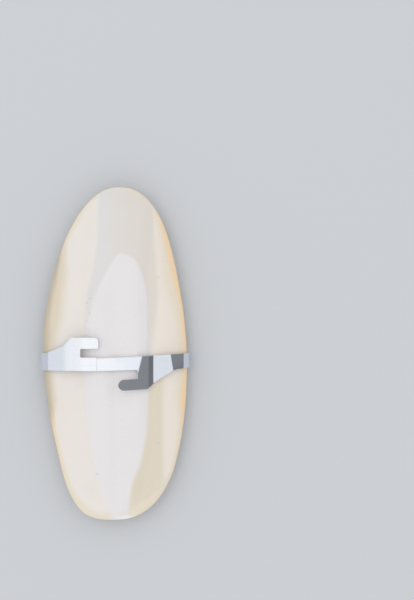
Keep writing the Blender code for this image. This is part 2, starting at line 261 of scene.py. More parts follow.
# The clip's flat outline
BAND_MIDDLE = -2.6 * MM
BAND_HALF_WIDTH = 2.5 * MM
BAND_BLEND = 3.0 * MM
ARM_WIDTH = 4.6 * MM
SLOT_WIDTH = 3.0 * MM
FINGER_WIDTH = 3.8 * MM
SLOT_RADIUS = 0.5 * MM
ARM_RADIUS = 0.25 * MM
LEFT_EDGE = -5.87 * MM
LEFT_ARM_START = 0.5 * MM
LEFT_SLOT_DEPTH = 6.2 * MM
LEFT_FINGER = 9.7 * MM
LEFT_SHOULDER = (mm(10.55, 8.4), mm(3.15, 6.1))
LEFT_SHOULDER_RADIUS = 4.0 * MM
SHOULDER_RADIUS = 3.0 * MM
FINGER_HEEL_RADIUS = 1.2 * MM
LEFT_TIP_RADII = mm(1.1, 0.4)  # the left finger's upper and lower corner
RIGHT_EDGE = 0.15 * MM
RIGHT_ROOT = 4.9 * MM
RIGHT_TILT = 0.05
RIGHT_SLOT_DEPTH = 7.3 * MM
RIGHT_FINGER = 10.8 * MM
RIGHT_REACH = 27.9 * MM
RIGHT_SHOULDER = (mm(13.6, 8.9), mm(7.2, 5.3))
ARM_REACH = 36.3 * MM
ARM_END_TAPER = 0.3 * MM
TOE_RADIUS = 1.85 * MM

# The clip's mesh
CLIP_ROWS = (8, 30, 80, 200, 130, 40, 36)  # between the strip's ends, slots and margins
CLIP_COLUMNS = (7, 5, 7)  # under, within and over the slots
COLUMN_RUNOUT = 7.0 * MM  # past a slot, its middle columns widen over this length
ROW_EASE = 0.75  # rows move this much of their spacing towards both ends of their run
EDGE_SEGMENTS = 2
EDGE_ANGLE = 60  # degrees between two faces, from which on their edge is rounded

# The bone's colours. A noise is (scale, detail) or (scale, detail, stretch), a mask's share
# is (at least, what the streaks add), and levels are the two that a mask rises between
MOTTLE = (90.0, 3.0)
CLOUDS = (28.0, 2.0)
PORES = (1900.0, 4.0)
SPECKS = (900.0, 1.0)
STREAKS = (60.0, 3.0, (9.0, 0.5, 1.0))
TAN_SHARE = (0.75, 0.5)
BORDER_SHARE = (0.7, 0.6)
EDGE_SHARE = (0.6, 0.6)
BACK_SHARE = (0.35, 0.4)
MOTTLE_LEVELS = (0.45, 0.75)
MOTTLE_SHARE = 0.08
PORE_LEVELS = (0.62, 0.80)
PORE_SHARE = 0.14
SPECK_LEVELS = (0.56, 0.66)
PIT_SHARE = 0.32
NICK_SHARE = 0.35
MOTTLE_HEIGHT = 0.8  # over the pores' height
CHALK_BUMP = (0.05 * MM, 0.5)  # distance and strength
CHALK_ROUGHNESS = 0.72
PORE_ROUGHNESS = 0.2
BORDER_GLOSS = 0.18
CHALK_SPECULAR = 0.35

# The plate's finish
DRAWN_GRAIN = (1.0, 4.0, (60.0, 5200.0, 1.0))
PLATE_WAVES = (1.0, 1.0, (260.0, 300.0, 1.0))
SCUFF_NOISE = (1.0, 3.0, (420.0, 650.0, 1.0))
LEFT_REFLECTION_TINT = mm(-9.0, -21.0)  # X, where the painted reflection tint starts and is full
RIGHT_REFLECTION_TINT = mm(-3.0, 7.0)
SCUFF_LEVELS = (0.5, 0.8)
SCUFF_SHARE = 0.12
DRAWN_LEVELS = (0.5, 0.75)
DRAWN_SHARE = 0.06
DRAWN_ROUGHNESS = 0.05
SCUFF_ROUGHNESS = 0.08
DRAWN_HEIGHT = 0.012  # over the waves' height
PLATE_BUMP = (0.03 * MM, 0.5)

# The stage. A patch of the surround is (lean to the right of straight up, inner angle, outer
# angle) in degrees
FLOOR_HALF_SIDE = 3.0
FLOOR_ROUGHNESS = 0.9
FLOOR_SPECULAR = 0.1
LIT_PATCH = (-20.0, 8.0, 40.0)
UNLIT_PATCH = (68.0, 28.0, 34.0)
DARKEST_PATCH = (75.0, 2.0, 8.0)
DARKEST_EXTRA = 0.22  # how much more light it loses than the unlit patch
DIM_START = (0.2, 0.7)  # of the squared Y of a direction
KEY_SIDE = 0.7
KEY_PLACE = (-0.35, 0.25, 0.95)

# The photograph's frame: 600 pixels high, and the bone's middle at this pixel of it
FRAME_HEIGHT_PX = 600
FRAME_WIDTH_PX = 414
MIDDLE_PX = (115.0, 353.5)
PIXEL = 0.345 * MM
CAMERA_DISTANCE = 0.75
SCALE_HEIGHT = 0.6  # of the bone's height, where a pixel is as large as said above
SENSOR = 36.0


def ramp(low, high, value):
    """0 up to low, 1 from high on, and a smooth rise between them."""
    share = np.clip((value - low) / (high - low), 0.0, 1.0)
    return share * share * (3.0 - 2.0 * share)


def bell(offset, half_width):
    """1 at no offset, falling off on both sides as a Gauss curve."""
    return np.exp(-((offset / half_width) ** 2))


def lattice_noise(u, v, seed):
    """Smooth noise from -1 to 1: random numbers at whole steps of u and v, eased between them."""
    table = np.random.default_rng(seed).uniform(-1.0, 1.0, (NOISE_CELLS, NOISE_CELLS))
    column, row = np.floor(u), np.floor(v)
    across, up = ramp(0.0, 1.0, u - column), ramp(0.0, 1.0, v - row)
    i, j = column.astype(int) % NOISE_CELLS, row.astype(int) % NOISE_CELLS
    next_i, next_j = (i + 1) % NOISE_CELLS, (j + 1) % NOISE_CELLS
    low = table[i, j] * (1.0 - across) + table[next_i, j] * across
    high = table[i, next_j] * (1.0 - across) + table[next_i, next_j] * across
    return low * (1.0 - up) + high * up


def surface_noise(x, y, noise):
    """One of the bone's noises at (X, Y), rising and falling by its own height."""
    height, cell_across, cell_along, seed = noise
    return height * lattice_noise(x / cell_across, y / cell_along, seed)


def end_value(along, front, rear):
    """One value for the bone's front half and one for its rear half."""
    return np.where(along > 0.0, front, rear)


def half_width(along):
    """A superellipse of its own power at each end, made narrower towards its tip."""
    power = end_value(along, FRONT_POWER, REAR_POWER)
    taper = end_value(along, FRONT_TAPER, REAR_TAPER)
    round_end = np.maximum(0.0, 1.0 - np.abs(along) ** power) ** (1.0 / power)
    return BONE_HALF_WIDTH * round_end * (1.0 - taper * ramp(0.0, TAPER_REACH, np.abs(along)))


def midline(along):
    """X of the line halfway between the bone's two sides."""
    return MM * sum(factor * along**power for power, factor in enumerate(MIDLINE))


def reach(along, across):
    """0 at the middle of the bone and 1 all round its edge, the tips included."""
    power = end_value(along, FRONT_POWER, REAR_POWER)
    length_part = np.minimum(1.0, np.abs(along)) ** power
    return (length_part + np.abs(across) ** power * (1.0 - length_part)) ** (1.0 / power)


def edge_depth(along, across):
    """How far in from the outline a point lies, taking the outline for an ellipse."""
    share = reach(along, across)
    tipward = np.minimum(1.0, (along / np.maximum(share, TINY)) ** 2)
    half_length = BONE_LENGTH / 2.0
    across_ray = np.sqrt(half_length**2 * (1.0 - tipward) + BONE_HALF_WIDTH**2 * tipward)
    return (1.0 - share) * BONE_HALF_WIDTH * half_length / across_ray


def edge_height(along):
    """How high the thin edge lies: it rises towards both tips."""
    return MARGIN_HEIGHT + MARGIN_SPRING * along * along


def rim(share):
    """Half the edge's thickness, rounded off at the outline."""
    return RIM_HALF_THICKNESS * np.sqrt(np.maximum(0.0, 1.0 - share**RIM_POWER))


def arch_side(along, x):
    """The offset from the arch's leaning axis, and the half width and powers of that side."""
    aside = x - ARCH_LEAN * np.maximum(0.0, along) / ARCH_TIP
    right = ramp(-ARCH_BLEND, ARCH_BLEND, aside)
    side, along_power, across_power = (
        left * (1.0 - right) + other * right for left, other in zip(ARCH_LEFT, ARCH_RIGHT)
    )
    rear_along, rear_across = ARCH_REAR_POWERS
    rear_share = ramp(ARCH_REAR_BLEND, -ARCH_REAR_BLEND, along)
    across_power += (rear_across - across_power) * rear_share
    return aside, side, end_value(along, along_power, rear_along), across_power


def arch(along, x):
    """Under 1 inside the striated zone, 1 on its outline and more outside."""
    aside, side, along_power, across_power = arch_side(along, x)
    tip = end_value(along, ARCH_TIP, -CORE_REAR_TIP)
    return np.abs(along / tip) ** along_power + np.abs(aside / side) ** across_power


def upper_height(along, across, x):
    """The chalky side: thin edge, shelf, raised core, then the striated zone's fine relief."""
    share = reach(along, across)
    wing = WING_HEIGHT * (1.0 - REAR_WING_LOSS * ramp(0.0, 1.0, -along))
    rearward = np.minimum(along, 0.0) / CORE_REAR_TIP
    side = CORE_HALF_WIDTH * np.maximum(0.0, 1.0 - rearward**CORE_REAR_ROUNDNESS) ** 0.5
    inside_core = 1.0 - ramp(side - CORE_SLOPE, side + CORE_SLOPE, np.abs(x))
    inside_arch = 1.0 - ramp(*ARCH_WALL, arch(along, x))
    height = edge_height(along) + rim(share) + wing * (1.0 - share**WING_POWER)
    core_power = end_value(along, CORE_FRONT_POWER, CORE_REAR_POWER)
    height += CORE_HEIGHT * (1.0 - np.abs(along) ** core_power) * inside_core
    height += ARCH_STEP * inside_arch * ramp(*ARCH_STEP_START, along)
    in_groove = bell(x, GROOVE_HALF_WIDTH) * (1.0 - ramp(*GROOVE_END, along))
    height -= GROOVE_DEPTH * inside_arch * in_groove
    on_cone = bell(arch(along, x) - 1.0, CONE_RIDGE_HALF_WIDTH) * ramp(*CONE_RIDGE_START, -along)
    height += CONE_RIDGE * on_cone
    on_lip = bell(share - REAR_LIP_PLACE, REAR_LIP_HALF_WIDTH) * ramp(*REAR_LIP_START, -along)
    return height + REAR_LIP * on_lip


def lower_height(along, across, x):
    """The hard back: a shallow hull, flat along its middle, with the clip's worn seat."""
    share = reach(along, across)
    keel = edge_height(1.0) * np.abs(along) ** KEEL_POWER
    depth = edge_height(along) - keel - rim(np.abs(along))
    height = edge_height(along) - depth * (1.0 - np.abs(across) ** BACK_ROUNDNESS) - rim(share)
    in_furrow = bell(np.abs(x) - FURROW_OFFSET, FURROW_HALF_WIDTH)
    height += FURROW_DEPTH * in_furrow * (1.0 - ramp(*FURROW_END, np.abs(along)))
    from_band = np.abs(along * BONE_LENGTH / 2.0 - BAND_MIDDLE)
    seat = 1.0 - ramp(SEAT_HALF_LENGTH, SEAT_HALF_LENGTH + SEAT_RUNOUT, from_band)
    return height + seat * np.maximum(0.0, SEAT_FLOOR - height)


def stria_scale(along, x):
    """Each growth line is the zone's front arch, shrunk towards the rear tip by this share."""
    aside, side, _, _ = arch_side(along, x)
    from_rear = np.maximum(0.0, (along - CORE_REAR_TIP) / (ARCH_TIP - CORE_REAR_TIP))
    summed = from_rear**STRIA_POWER + np.abs(aside / side) ** STRIA_POWER
    return summed ** (1.0 / STRIA_POWER)


def upper_relief(along, across, x, spacing, depth):
    """Growth lines in the striated zone, faint lines along the shelf, and the chalk's grain."""
    y = along * BONE_LENGTH / 2.0
    share = reach(along, across)
    scale = stria_scale(along, x)
    wander = surface_noise(x, y, STRIA_WANDER)
    lines = scale * (ARCH_TIP - CORE_REAR_TIP) * BONE_LENGTH / 2.0 / spacing + wander
    steep = np.abs(x) / np.maximum(scale * ARCH_LEFT[0], TINY)
    inside = (1.0 - ramp(*STRIA_EDGE, arch(along, x))) * (1.0 - ramp(*STRIA_SIDES, steep))
    relief = depth * np.sin(math.tau * lines) * inside
    shelf = ramp(*SHELF_START, share) * (1.0 - ramp(*SHELF_END, share))
    shelf_lines = np.sin(math.tau * share * SHELF_LINES + 2.0 * wander)
    relief += SHELF_LINE_DEPTH * depth * shelf_lines * shelf
    relief += surface_noise(x, y, CHALK_WAVES) * (1.0 - share**CHALK_WAVES_POWER)
    return relief + surface_noise(x, y, CHALK_GRAIN) * (1.0 - share**CHALK_GRAIN_POWER)


def lower_relief(along, across, x):
    """The hard back's granules: dents that go in from the hull, deeper towards the rear. Their
    depth is a half plus 0.3 of a coarse and 0.2 of a fine noise, and faint arcs lie over them."""
    y = along * BONE_LENGTH / 2.0
    share = reach(along, across)
    coarse = surface_noise(x, y, COARSE_GRANULES)
    fine = surface_noise(x, y, FINE_GRANULES)
    grain = 0.5 + 0.3 * coarse + 0.2 * fine
    arcs = 0.5 + 0.5 * np.sin(math.tau * (share * BACK_ARCS + 0.5 * coarse))
    weight = (1.0 - ramp(*BACK_EDGE, share)) * (0.5 + 0.5 * ramp(*REAR_GRANULES, along))
    return (GRANULE_DEPTH * grain + BACK_ARC_DEPTH * arcs) * weight


def zone_masks(along, across, x, upper):
    """How far each point belongs to each colour zone of the chalky side, from 0 to 1."""
    y = along * BONE_LENGTH / 2.0
    place_x = midline(along) + x
    column_y, *margin_widths = zip(*MARGINS)
    depth = edge_depth(along, across)
    margins = [np.interp(y / MM, column_y, widths) * MM for widths in margin_widths]
    left_line = MM * np.interp(y / MM, *zip(*CORE_LEFT_LINE))
    right_line = MM * np.interp(y / MM, *zip(*CORE_RIGHT_LINE))
    right = ramp(-SIDE_BLEND, SIDE_BLEND, x)
    rear, front = ramp(*REAR_START, along), ramp(*FRONT_START, along)
    striae = ramp(*STRIAE_RIM, arch(along, x))
    past_core = ramp(-ZONE_BLEND, ZONE_BLEND, place_x - right_line)
    core = ramp(-ZONE_BLEND, ZONE_BLEND, place_x - left_line) * (1.0 - past_core)
    tan = past_core * (1.0 - ramp(*TAN_END, place_x)) * rear
    tan += FRONT_TAN * core * (1.0 - striae) * right * front
    pits = bell(place_x - MM * np.interp(y / MM, *zip(*PIT_LINE)), PIT_LINE_HALF_WIDTH)
    pits *= ramp(*PIT_LINE_REAR, y) * (1.0 - ramp(*PIT_LINE_FRONT, y))
    nicks = sum(
        bell(np.hypot(place_x - nick_x, y - nick_y), size) for nick_x, nick_y, size in NICKS
    )
    masks = {
        "striae": striae,
        "core": core,
        "rear_core": core * rear,
        "tan": tan,
        "pits": pits,
        "nicks": np.minimum(nicks, 1.0),
    }
    masks = {name: np.where(upper, mask, 0.0) for name, mask in masks.items()}
    border = margins[0] + (margins[2] - margins[0]) * right
    edge = margins[1] + (margins[3] - margins[1]) * right
    beside_core = 1.0 - CORE_PALENESS * masks["core"]
    masks["border"] = ramp(*(share * border for share in BORDER_SPREAD), depth) * beside_core
    masks["amber"] = ramp(*(share * edge for share in EDGE_SPREAD), depth) * beside_core
    masks["amber"] *= ramp(*EDGE_WIDTHS, edge)
    # Painted shade: between these Ys the left border and edge take their darker shaded colours
    shaded = (1.0 - right) * ramp(*LEFT_SHADE_REAR, y) * ramp(*LEFT_SHADE_FRONT, y)
    masks["sunlit"] = 1.0 - shaded
    # Painted highlight on the rim of the rear tip
    masks["chip"] = bell(place_x - PAINTED_TIP_HIGHLIGHT[0], PAINTED_TIP_HIGHLIGHT[2]) * bell(y - PAINTED_TIP_HIGHLIGHT[1], PAINTED_TIP_HIGHLIGHT[3])
    masks["right"] = right
    masks["back"] = np.where(upper, 0.0, 1.0)
    return masks


def eased_columns(count, density):
    """Angles from 0 to just under half a turn, closer together in the middle."""
    share = np.arange(count) / count
    return math.pi * (share + density * np.sin(math.tau * share) / math.tau)


def bone_surface(settings):
    """Rings of points round the bone, each at the outline's width times the cosine of its
    angle, at the chalky side's height for the first half turn and the back's for the rest."""
    step = np.linspace(-1.0, 1.0, RINGS + 2)[1:-1]
    along = np.sign(step) * (1.0 - (1.0 - np.abs(step)) ** RING_EASE)
    top = eased_columns(UPPER_COLUMNS, MIDDLE_DENSITY)
    under = math.pi + eased_columns(LOWER_COLUMNS, MIDDLE_DENSITY)
    angle = np.concatenate([top, under])
    along, angle = np.meshgrid(along, angle, indexing="ij")
    across = np.cos(angle)
    upper = np.sin(angle) >= -ON_EDGE
    x = across * half_width(along)
    high = upper_height(along, across, x) + upper_relief(
        along, across, x, settings.stria_spacing, settings.stria_depth
    )
    masks = zone_masks(along, across, x, upper)
    high -= NICK_DEPTH * masks["nicks"]
    low = lower_height(along, across, x) + lower_relief(along, across, x)
    edge = np.abs(np.sin(angle)) < ON_EDGE
    z = np.where(edge, edge_height(along), np.where(upper, high, low))
    y = along * BONE_LENGTH / 2.0
    row = np.sign(across) * EDGE_RIPPLE_ROW
    ripple = lattice_noise(y / EDGE_RIPPLE_CELL, row, EDGE_RIPPLE_SEED) * np.abs(across)
    x = midline(along) + x + EDGE_RIPPLE * ripple
    points = np.stack([x, y, z], axis=-1).reshape(-1, 3)
    return points, masks


def ring_faces(rings, columns):
    """Quads between neighbouring rings, and a fan of triangles at each tip."""
    ring, column = np.meshgrid(np.arange(rings - 1), np.arange(columns), indexing="ij")
    beside = (column + 1) % columns
    here, there = ring * columns, (ring + 1) * columns
    quads = np.stack([here + column, there + column, there + beside, here + beside], axis=-1)
    first, last = rings * columns, rings * columns + 1
    column = np.arange(columns)
    beside = (column + 1) % columns
    end = (rings - 1) * columns
    rear = np.stack([np.full(columns, first), column, beside], axis=-1)
    front = np.stack([np.full(columns, last), end + beside, end + column], axis=-1)
    return quads.reshape(-1, 4).tolist() + rear.tolist() + front.tolist()


def rounded(corners):
    """The corners (a, b, radius) as an array of points, each corner replaced by its arc."""
    points = []
    for index, (a, b, radius) in enumerate(corners):
        if radius == 0.0 or index in (0, len(corners) - 1):
            points.append((a, b))
            continue
        before, after = corners[index - 1], corners[index + 1]
        came = math.atan2(b - before[1], a - before[0])
        goes = math.atan2(after[1] - b, after[0] - a)
        turn = (goes - came + math.pi) % math.tau - math.pi
        room = BEND_ROOM * min(math.dist((a, b), before[:2]), math.dist((a, b), after[:2]))
        cut = min(radius * math.tan(abs(turn) / 2.0), room)
        radius = cut / math.tan(abs(turn) / 2.0)
        side = math.copysign(math.pi / 2.0, turn)
        start = (a - cut * math.cos(came), b - cut * math.sin(came))
        middle_a = start[0] + radius * math.cos(came + side)
        middle_b = start[1] + radius * math.sin(came + side)
        heading = came - side + turn * np.linspace(0.0, 1.0, BEND_PARTS + 1)
        points += zip(middle_a + radius * np.cos(heading), middle_b + radius * np.sin(heading))
    return np.array(points)


def moved(corner, drift, y):
    """The corner of a bend that runs askew, at this Y."""
    x, z, radius = corner
    return x + drift[0] * (y - BAND_MIDDLE), z + drift[1] * (y - BAND_MIDDLE), radius


def arm_corners(y):
    """The arm folds down over the crown of the bone."""
    crease, fold = moved(RIGHT_CREASE, CREASE_DRIFT, y), moved(ARM_FOLD, FOLD_DRIFT, y)
    return [*CLIP_ROUTE, crease, *RIGHT_RISE, fold, ARM_END]


def finger_corners(y):
    """The finger runs straight on where the arm folds."""
    x, z, _ = RIGHT_RISE[-1]
    rise = (ARM_FOLD[1] - z) / (ARM_FOLD[0] - x)
    end = (ARM_FOLD[0] - FINGER_RUN, ARM_FOLD[1] - FINGER_RUN * rise, 0.0)
    return [*CLIP_ROUTE, moved(RIGHT_CREASE, CREASE_DRIFT, y), *RIGHT_RISE, end]


class Route:
    """The strip's middle line in the XZ plane. It is known for two Ys, and each of its points
    moves along a straight line from the one to the other."""

    def __init__(self, corners_at):
        self.low = rounded(corners_at(BAND_MIDDLE - BAND_HALF_WIDTH))
        self.high = rounded(corners_at(BAND_MIDDLE + BAND_HALF_WIDTH))

    def line(self, y):
        """The points at this Y, and the length along the line up to each."""
        share = (y - BAND_MIDDLE + BAND_HALF_WIDTH) / (2.0 * BAND_HALF_WIDTH)
        points = self.low + (self.high - self.low) * share
        return points, np.concatenate([[0.0], np.cumsum(np.hypot(*np.diff(points, axis=0).T))])

    def station_near(self, corner):
        """The length along the line up to its point nearest to the corner."""
        points, stations = self.line(BAND_MIDDLE)
        return stations[np.argmin(np.hypot(*(points - corner[:2]).T))]

    def at(self, length, y):
        """(X, Z) for each pair of a length along the line and a Y."""
        places = []
        for u, v in zip(length.ravel(), y.ravel()):
            points, stations = self.line(v)
            places.append([np.interp(u, stations, points[:, axis]) for axis in (0, 1)])
        return np.moveaxis(np.array(places).reshape(*y.shape, 2), -1, 0)


def rail(corners, u):
    """The height of a stamped edge over the length u. The first and the last corner only give
    the direction of the walls that the edge starts and ends at."""
    points = rounded(corners)[1:-1]
    return np.interp(u, points[:, 0], points[:, 1])


def clip_rails(u, left, right):
    """Four edges over the length u: the strip's lower edge, the slots' two and its upper edge."""
    low, high = BAND_MIDDLE - BAND_HALF_WIDTH, BAND_MIDDLE + BAND_HALF_WIDTH
    arm = LEFT_EDGE + ARM_WIDTH
    finger = arm + SLOT_WIDTH
    top = finger + FINGER_WIDTH
    slot = ARM_WIDTH + SLOT_WIDTH
    foot = slot + FINGER_WIDTH
    root = RIGHT_REACH - RIGHT_SLOT_DEPTH

    def right_point(along, height, radius=0.0):
        return right + along, RIGHT_EDGE - height - RIGHT_TILT * along, radius

    lower = rail([
        (LEFT_ARM_START, arm, 0.0),
        (LEFT_ARM_START, LEFT_EDGE, ARM_RADIUS),
        (left, LEFT_EDGE, 0.0),
        (left + BAND_BLEND, low, 0.0),
        (right - BAND_BLEND, low, 0.0),
        right_point(0.0, RIGHT_ROOT),
        right_point(*RIGHT_SHOULDER[1], SHOULDER_RADIUS),
        right_point(*RIGHT_SHOULDER[0], SHOULDER_RADIUS),
        right_point(RIGHT_REACH - RIGHT_FINGER, foot, FINGER_HEEL_RADIUS),
        right_point(RIGHT_REACH, foot, TOE_RADIUS),
        right_point(RIGHT_REACH, slot),
    ], u)
    upper = rail([
        (0.0, finger, 0.0),
        (0.0, top, LEFT_TIP_RADII[0]),
        (LEFT_FINGER, top, FINGER_HEEL_RADIUS),
        (left - LEFT_SHOULDER[0][0], LEFT_EDGE + LEFT_SHOULDER[0][1], LEFT_SHOULDER_RADIUS),
        (left - LEFT_SHOULDER[1][0], LEFT_EDGE + LEFT_SHOULDER[1][1], SHOULDER_RADIUS),
        (left + BAND_BLEND, high, 0.0),
        (right - BAND_BLEND, high, 0.0),
        right_point(0.0, 0.0),
        right_point(ARM_REACH, 0.0, ARM_RADIUS),
        right_point(ARM_REACH, ARM_WIDTH),
    ], u)
    left_low = rail([
        (LEFT_ARM_START, LEFT_EDGE, 0.0),
        (LEFT_ARM_START, arm, ARM_RADIUS),
        (LEFT_SLOT_DEPTH, arm, SLOT_RADIUS),
        (LEFT_SLOT_DEPTH, finger, 0.0),
    ], u)
    left_high = rail([
        (0.0, top, 0.0),
        (0.0, finger, LEFT_TIP_RADII[1]),
        (LEFT_SLOT_DEPTH, finger, SLOT_RADIUS),
        (LEFT_SLOT_DEPTH, arm, 0.0),
    ], u)
    right_high = rail([
        right_point(root, slot),
        right_point(root, ARM_WIDTH, SLOT_RADIUS),
        right_point(ARM_REACH, ARM_WIDTH - ARM_END_TAPER, ARM_RADIUS),
        right_point(ARM_REACH, 0.0),
    ], u)
    right_low = rail([
        right_point(root, ARM_WIDTH),
        right_point(root, slot, SLOT_RADIUS),
        right_point(RIGHT_REACH, slot, TOE_RADIUS),
        right_point(RIGHT_REACH, foot),
    ], u)
    third, two_thirds = lower + (upper - lower) / 3.0, lower + (upper - lower) / 1.5
    leaves_left = ramp(LEFT_SLOT_DEPTH, LEFT_SLOT_DEPTH + COLUMN_RUNOUT, u)
    joins_right = ramp(right + root - COLUMN_RUNOUT, right + root, u)
    slot_low = left_low + (third - left_low) * leaves_left
    slot_low += (right_low - slot_low) * joins_right
    slot_high = left_high + (two_thirds - left_high) * leaves_left
    slot_high += (right_high - slot_high) * joins_right
    return lower, slot_low, slot_high, upper


def eased_stations(start, end, count):
    """Stations from start up to end, closer together at both."""
    share = np.arange(count) / count
    return start + (end - start) * (share - ROW_EASE * np.sin(math.tau * share) / math.tau)


def clip_surface():
    """The strip's middle surface over its length u and the share v across it. Each group of
    columns fills the width between two edges, and the slots are where the middle group is
    left out. The lowest group follows the finger's route, the topmost the arm's, and the
    middle one blends them."""
    arm, finger = Route(arm_corners), Route(finger_corners)
    left, right = arm.station_near(LEFT_MARGIN), arm.station_near(RIGHT_MARGIN)
    tip, length = right + RIGHT_REACH, right + ARM_REACH
    root = tip - RIGHT_SLOT_DEPTH
    stops = (0.0, LEFT_ARM_START, LEFT_SLOT_DEPTH, left, right, root, tip, length)
    rows = [eased_stations(*run) for run in zip(stops, stops[1:], CLIP_ROWS)]
    u = np.concatenate([*rows, [length]])
    rails = clip_rails(u, left, right)
    heights, weights = [], []
    for group, count in enumerate(CLIP_COLUMNS):
        share = np.arange(count + (group == 2)) / count
        heights.append(rails[group][:, None] * (1.0 - share) + rails[group + 1][:, None] * share)
        weights.append((0.0, share, 1.0)[group] + 0.0 * share)
    y, weight = np.concatenate(heights, axis=1), np.concatenate(weights)
    u = np.broadcast_to(u[:, None], y.shape)
    x, z = finger.at(u, y) * (1.0 - weight) + arm.at(u, y) * weight
    points = np.stack([x, y, z], axis=-1).reshape(-1, 3)
    row, column = np.meshgrid(np.arange(len(u) - 1), np.arange(sum(CLIP_COLUMNS)), indexing="ij")
    middle = (u[:-1, :1] + u[1:, :1]) / 2.0
    in_lower = column < CLIP_COLUMNS[0]
    in_slot = ~in_lower & (column < CLIP_COLUMNS[0] + CLIP_COLUMNS[1])
    solid = (middle > LEFT_SLOT_DEPTH) & (middle < root)
    kept = ~(in_slot & ~solid) & ~(in_lower & ((middle < LEFT_ARM_START) | (middle > tip)))
    here = row * y.shape[1] + column
    faces = np.stack([here, here + 1, here + y.shape[1] + 1, here + y.shape[1]], axis=-1)[kept]
    used, faces = np.unique(faces, return_inverse=True)
    grain = np.stack([u, y], axis=-1).reshape(-1, 2)
    return points[used], faces.reshape(-1, 4), grain[used]


class Wire:
    """A shader socket that takes part in Python sums: each sum adds its Math node."""

    def __init__(self, graph, socket):
        self.graph = graph
        self.socket = socket

    def math(self, operation, *others):
        return self.graph.node("ShaderNodeMath", {"operation": operation}, [self, *others])

    def __add__(self, other):
        return self.math("ADD", other)

    def __sub__(self, other):
        return self.math("SUBTRACT", other)

    def __rsub__(self, other):
        return self.graph.node("ShaderNodeMath", {"operation": "SUBTRACT"}, [other, self])

    def __mul__(self, other):
        return self.math("MULTIPLY", other)

    __radd__ = __add__
    __rmul__ = __mul__

    def step(self, low, high):
        """0 up to low, 1 from high on, and a smooth rise between them."""
        settings = {"interpolation_type": "SMOOTHSTEP"}
        values = {"Value": self, "From Min": low, "From Max": high}
        return self.graph.node("ShaderNodeMapRange", settings, values)


class Graph:
    """A node tree whose nodes are made and joined by one method."""

    def __init__(self, owner):
        owner.use_nodes = True
        self.tree = owner.node_tree

    def fill(self, made, values):
        """Sets a node's sockets: constants stay on them, and wires are joined."""
        items = values.items() if isinstance(values, dict) else enumerate(values)
        for name, value in items:
            if isinstance(value, Wire):
                self.tree.links.new(value.socket, made.inputs[name])
            else:
                made.inputs[name].default_value = value

    def node(self, kind, settings, values, output=0):
        made = self.tree.nodes.new(kind)
        for name, value in settings.items():
            setattr(made, name, value)
        self.fill(made, values)
        return Wire(self, made.outputs[output])

    def attribute(self, name):
        """One of the masks that the mesh's points carry."""
        return self.node("ShaderNodeAttribute", {"attribute_name": name}, {}, "Fac")

    def place(self):
        return self.node("ShaderNodeTexCoord", {}, {}, "Object")

    def noise(self, place, scale, detail, stretch=(1.0, 1.0, 1.0)):
        stretched = self.node("ShaderNodeMapping", {}, {"Vector": place, "Scale": stretch})
        values = {"Vector": stretched, "Scale": scale, "Detail": detail}
        return self.node("ShaderNodeTexNoise", {}, values, "Fac")

    def mix(self, share, first, second):
        """Indices 6 and 7 are the Mix node's two colours, and output 2 is its colour."""
        values = {0: share, 6: first, 7: second}
        return self.node("ShaderNodeMix", {"data_type": "RGBA"}, values, 2)

    def bump(self, height, distance, strength):
        values = {"Height": height, "Distance": distance, "Strength": strength}
        return self.node("ShaderNodeBump", {}, values)


def add_material(name, describe, settings):
    """A material whose Principled shader has the values that the function describe gives."""
    made = bpy.data.materials.new(name)
    graph = Graph(made)
    graph.fill(graph.tree.nodes["Principled BSDF"], describe(graph, settings))
    return made


def streaked(mask, streak, share):
    """A mask of at least the share's first value, with its second times the streaks added."""
    least, added = share
    return mask * (least + streak * added)


def chalk_look(graph, settings):
    """Chalk in zones, warmer towards the horny border, with painted shade on the left border and
    edge, a painted highlight on the rear tip, mottling, fine pores and pits.
    """
    place = graph.place()
    mottle = graph.noise(place, *MOTTLE)
    cloud = graph.noise(place, *CLOUDS)
    pores = graph.noise(place, *PORES)
    specks = graph.noise(place, *SPECKS)
    streak = graph.noise(place, *STREAKS)
    right = graph.attribute("right")
    sunlit = graph.attribute("sunlit")
    # Painted shade: where sunlit is under 1, on the left, the border and edge take darker shaded
    # copies of their colours
    border = graph.mix(sunlit, (*settings.border, 1.0), (*settings.border_right, 1.0))
    edge = graph.mix(sunlit, (*settings.shaded_left_edge, 1.0), (*settings.amber, 1.0))
    layers = (
        (right, settings.shelf_right),
        (graph.attribute("core"), settings.loculus),
        (graph.attribute("striae"), settings.chalk),
        (graph.attribute("rear_core"), settings.chalk),
        (streaked(graph.attribute("tan"), streak, TAN_SHARE), settings.tan),
        (streaked(graph.attribute("border"), streak, BORDER_SHARE), border),
        (streaked(graph.attribute("amber"), streak, EDGE_SHARE), edge),
        (streaked(graph.attribute("back"), cloud, BACK_SHARE), settings.back),
        (mottle.step(*MOTTLE_LEVELS) * MOTTLE_SHARE, settings.mottle),
        (pores.step(*PORE_LEVELS) * PORE_SHARE, settings.pore),
        (graph.attribute("pits") * specks.step(*SPECK_LEVELS) * PIT_SHARE, settings.pore),
        (graph.attribute("nicks") * NICK_SHARE, settings.pore),
        # painted highlight on the rear tip's rim
        (graph.attribute("chip"), PAINTED_TIP_HIGHLIGHT_COLOUR),
    )
    colour = (*settings.shelf, 1.0)
    for share, layer in layers:
        layer = layer if isinstance(layer, Wire) else (*layer, 1.0)
        colour = graph.mix(share, colour, layer)
    roughness = CHALK_ROUGHNESS + pores * PORE_ROUGHNESS
    return {
        "Base Color": colour,
        "Roughness": roughness - graph.attribute("border") * BORDER_GLOSS,
        "Normal": graph.bump(pores + mottle * MOTTLE_HEIGHT, *CHALK_BUMP),
        "Specular IOR Level": CHALK_SPECULAR,
    }


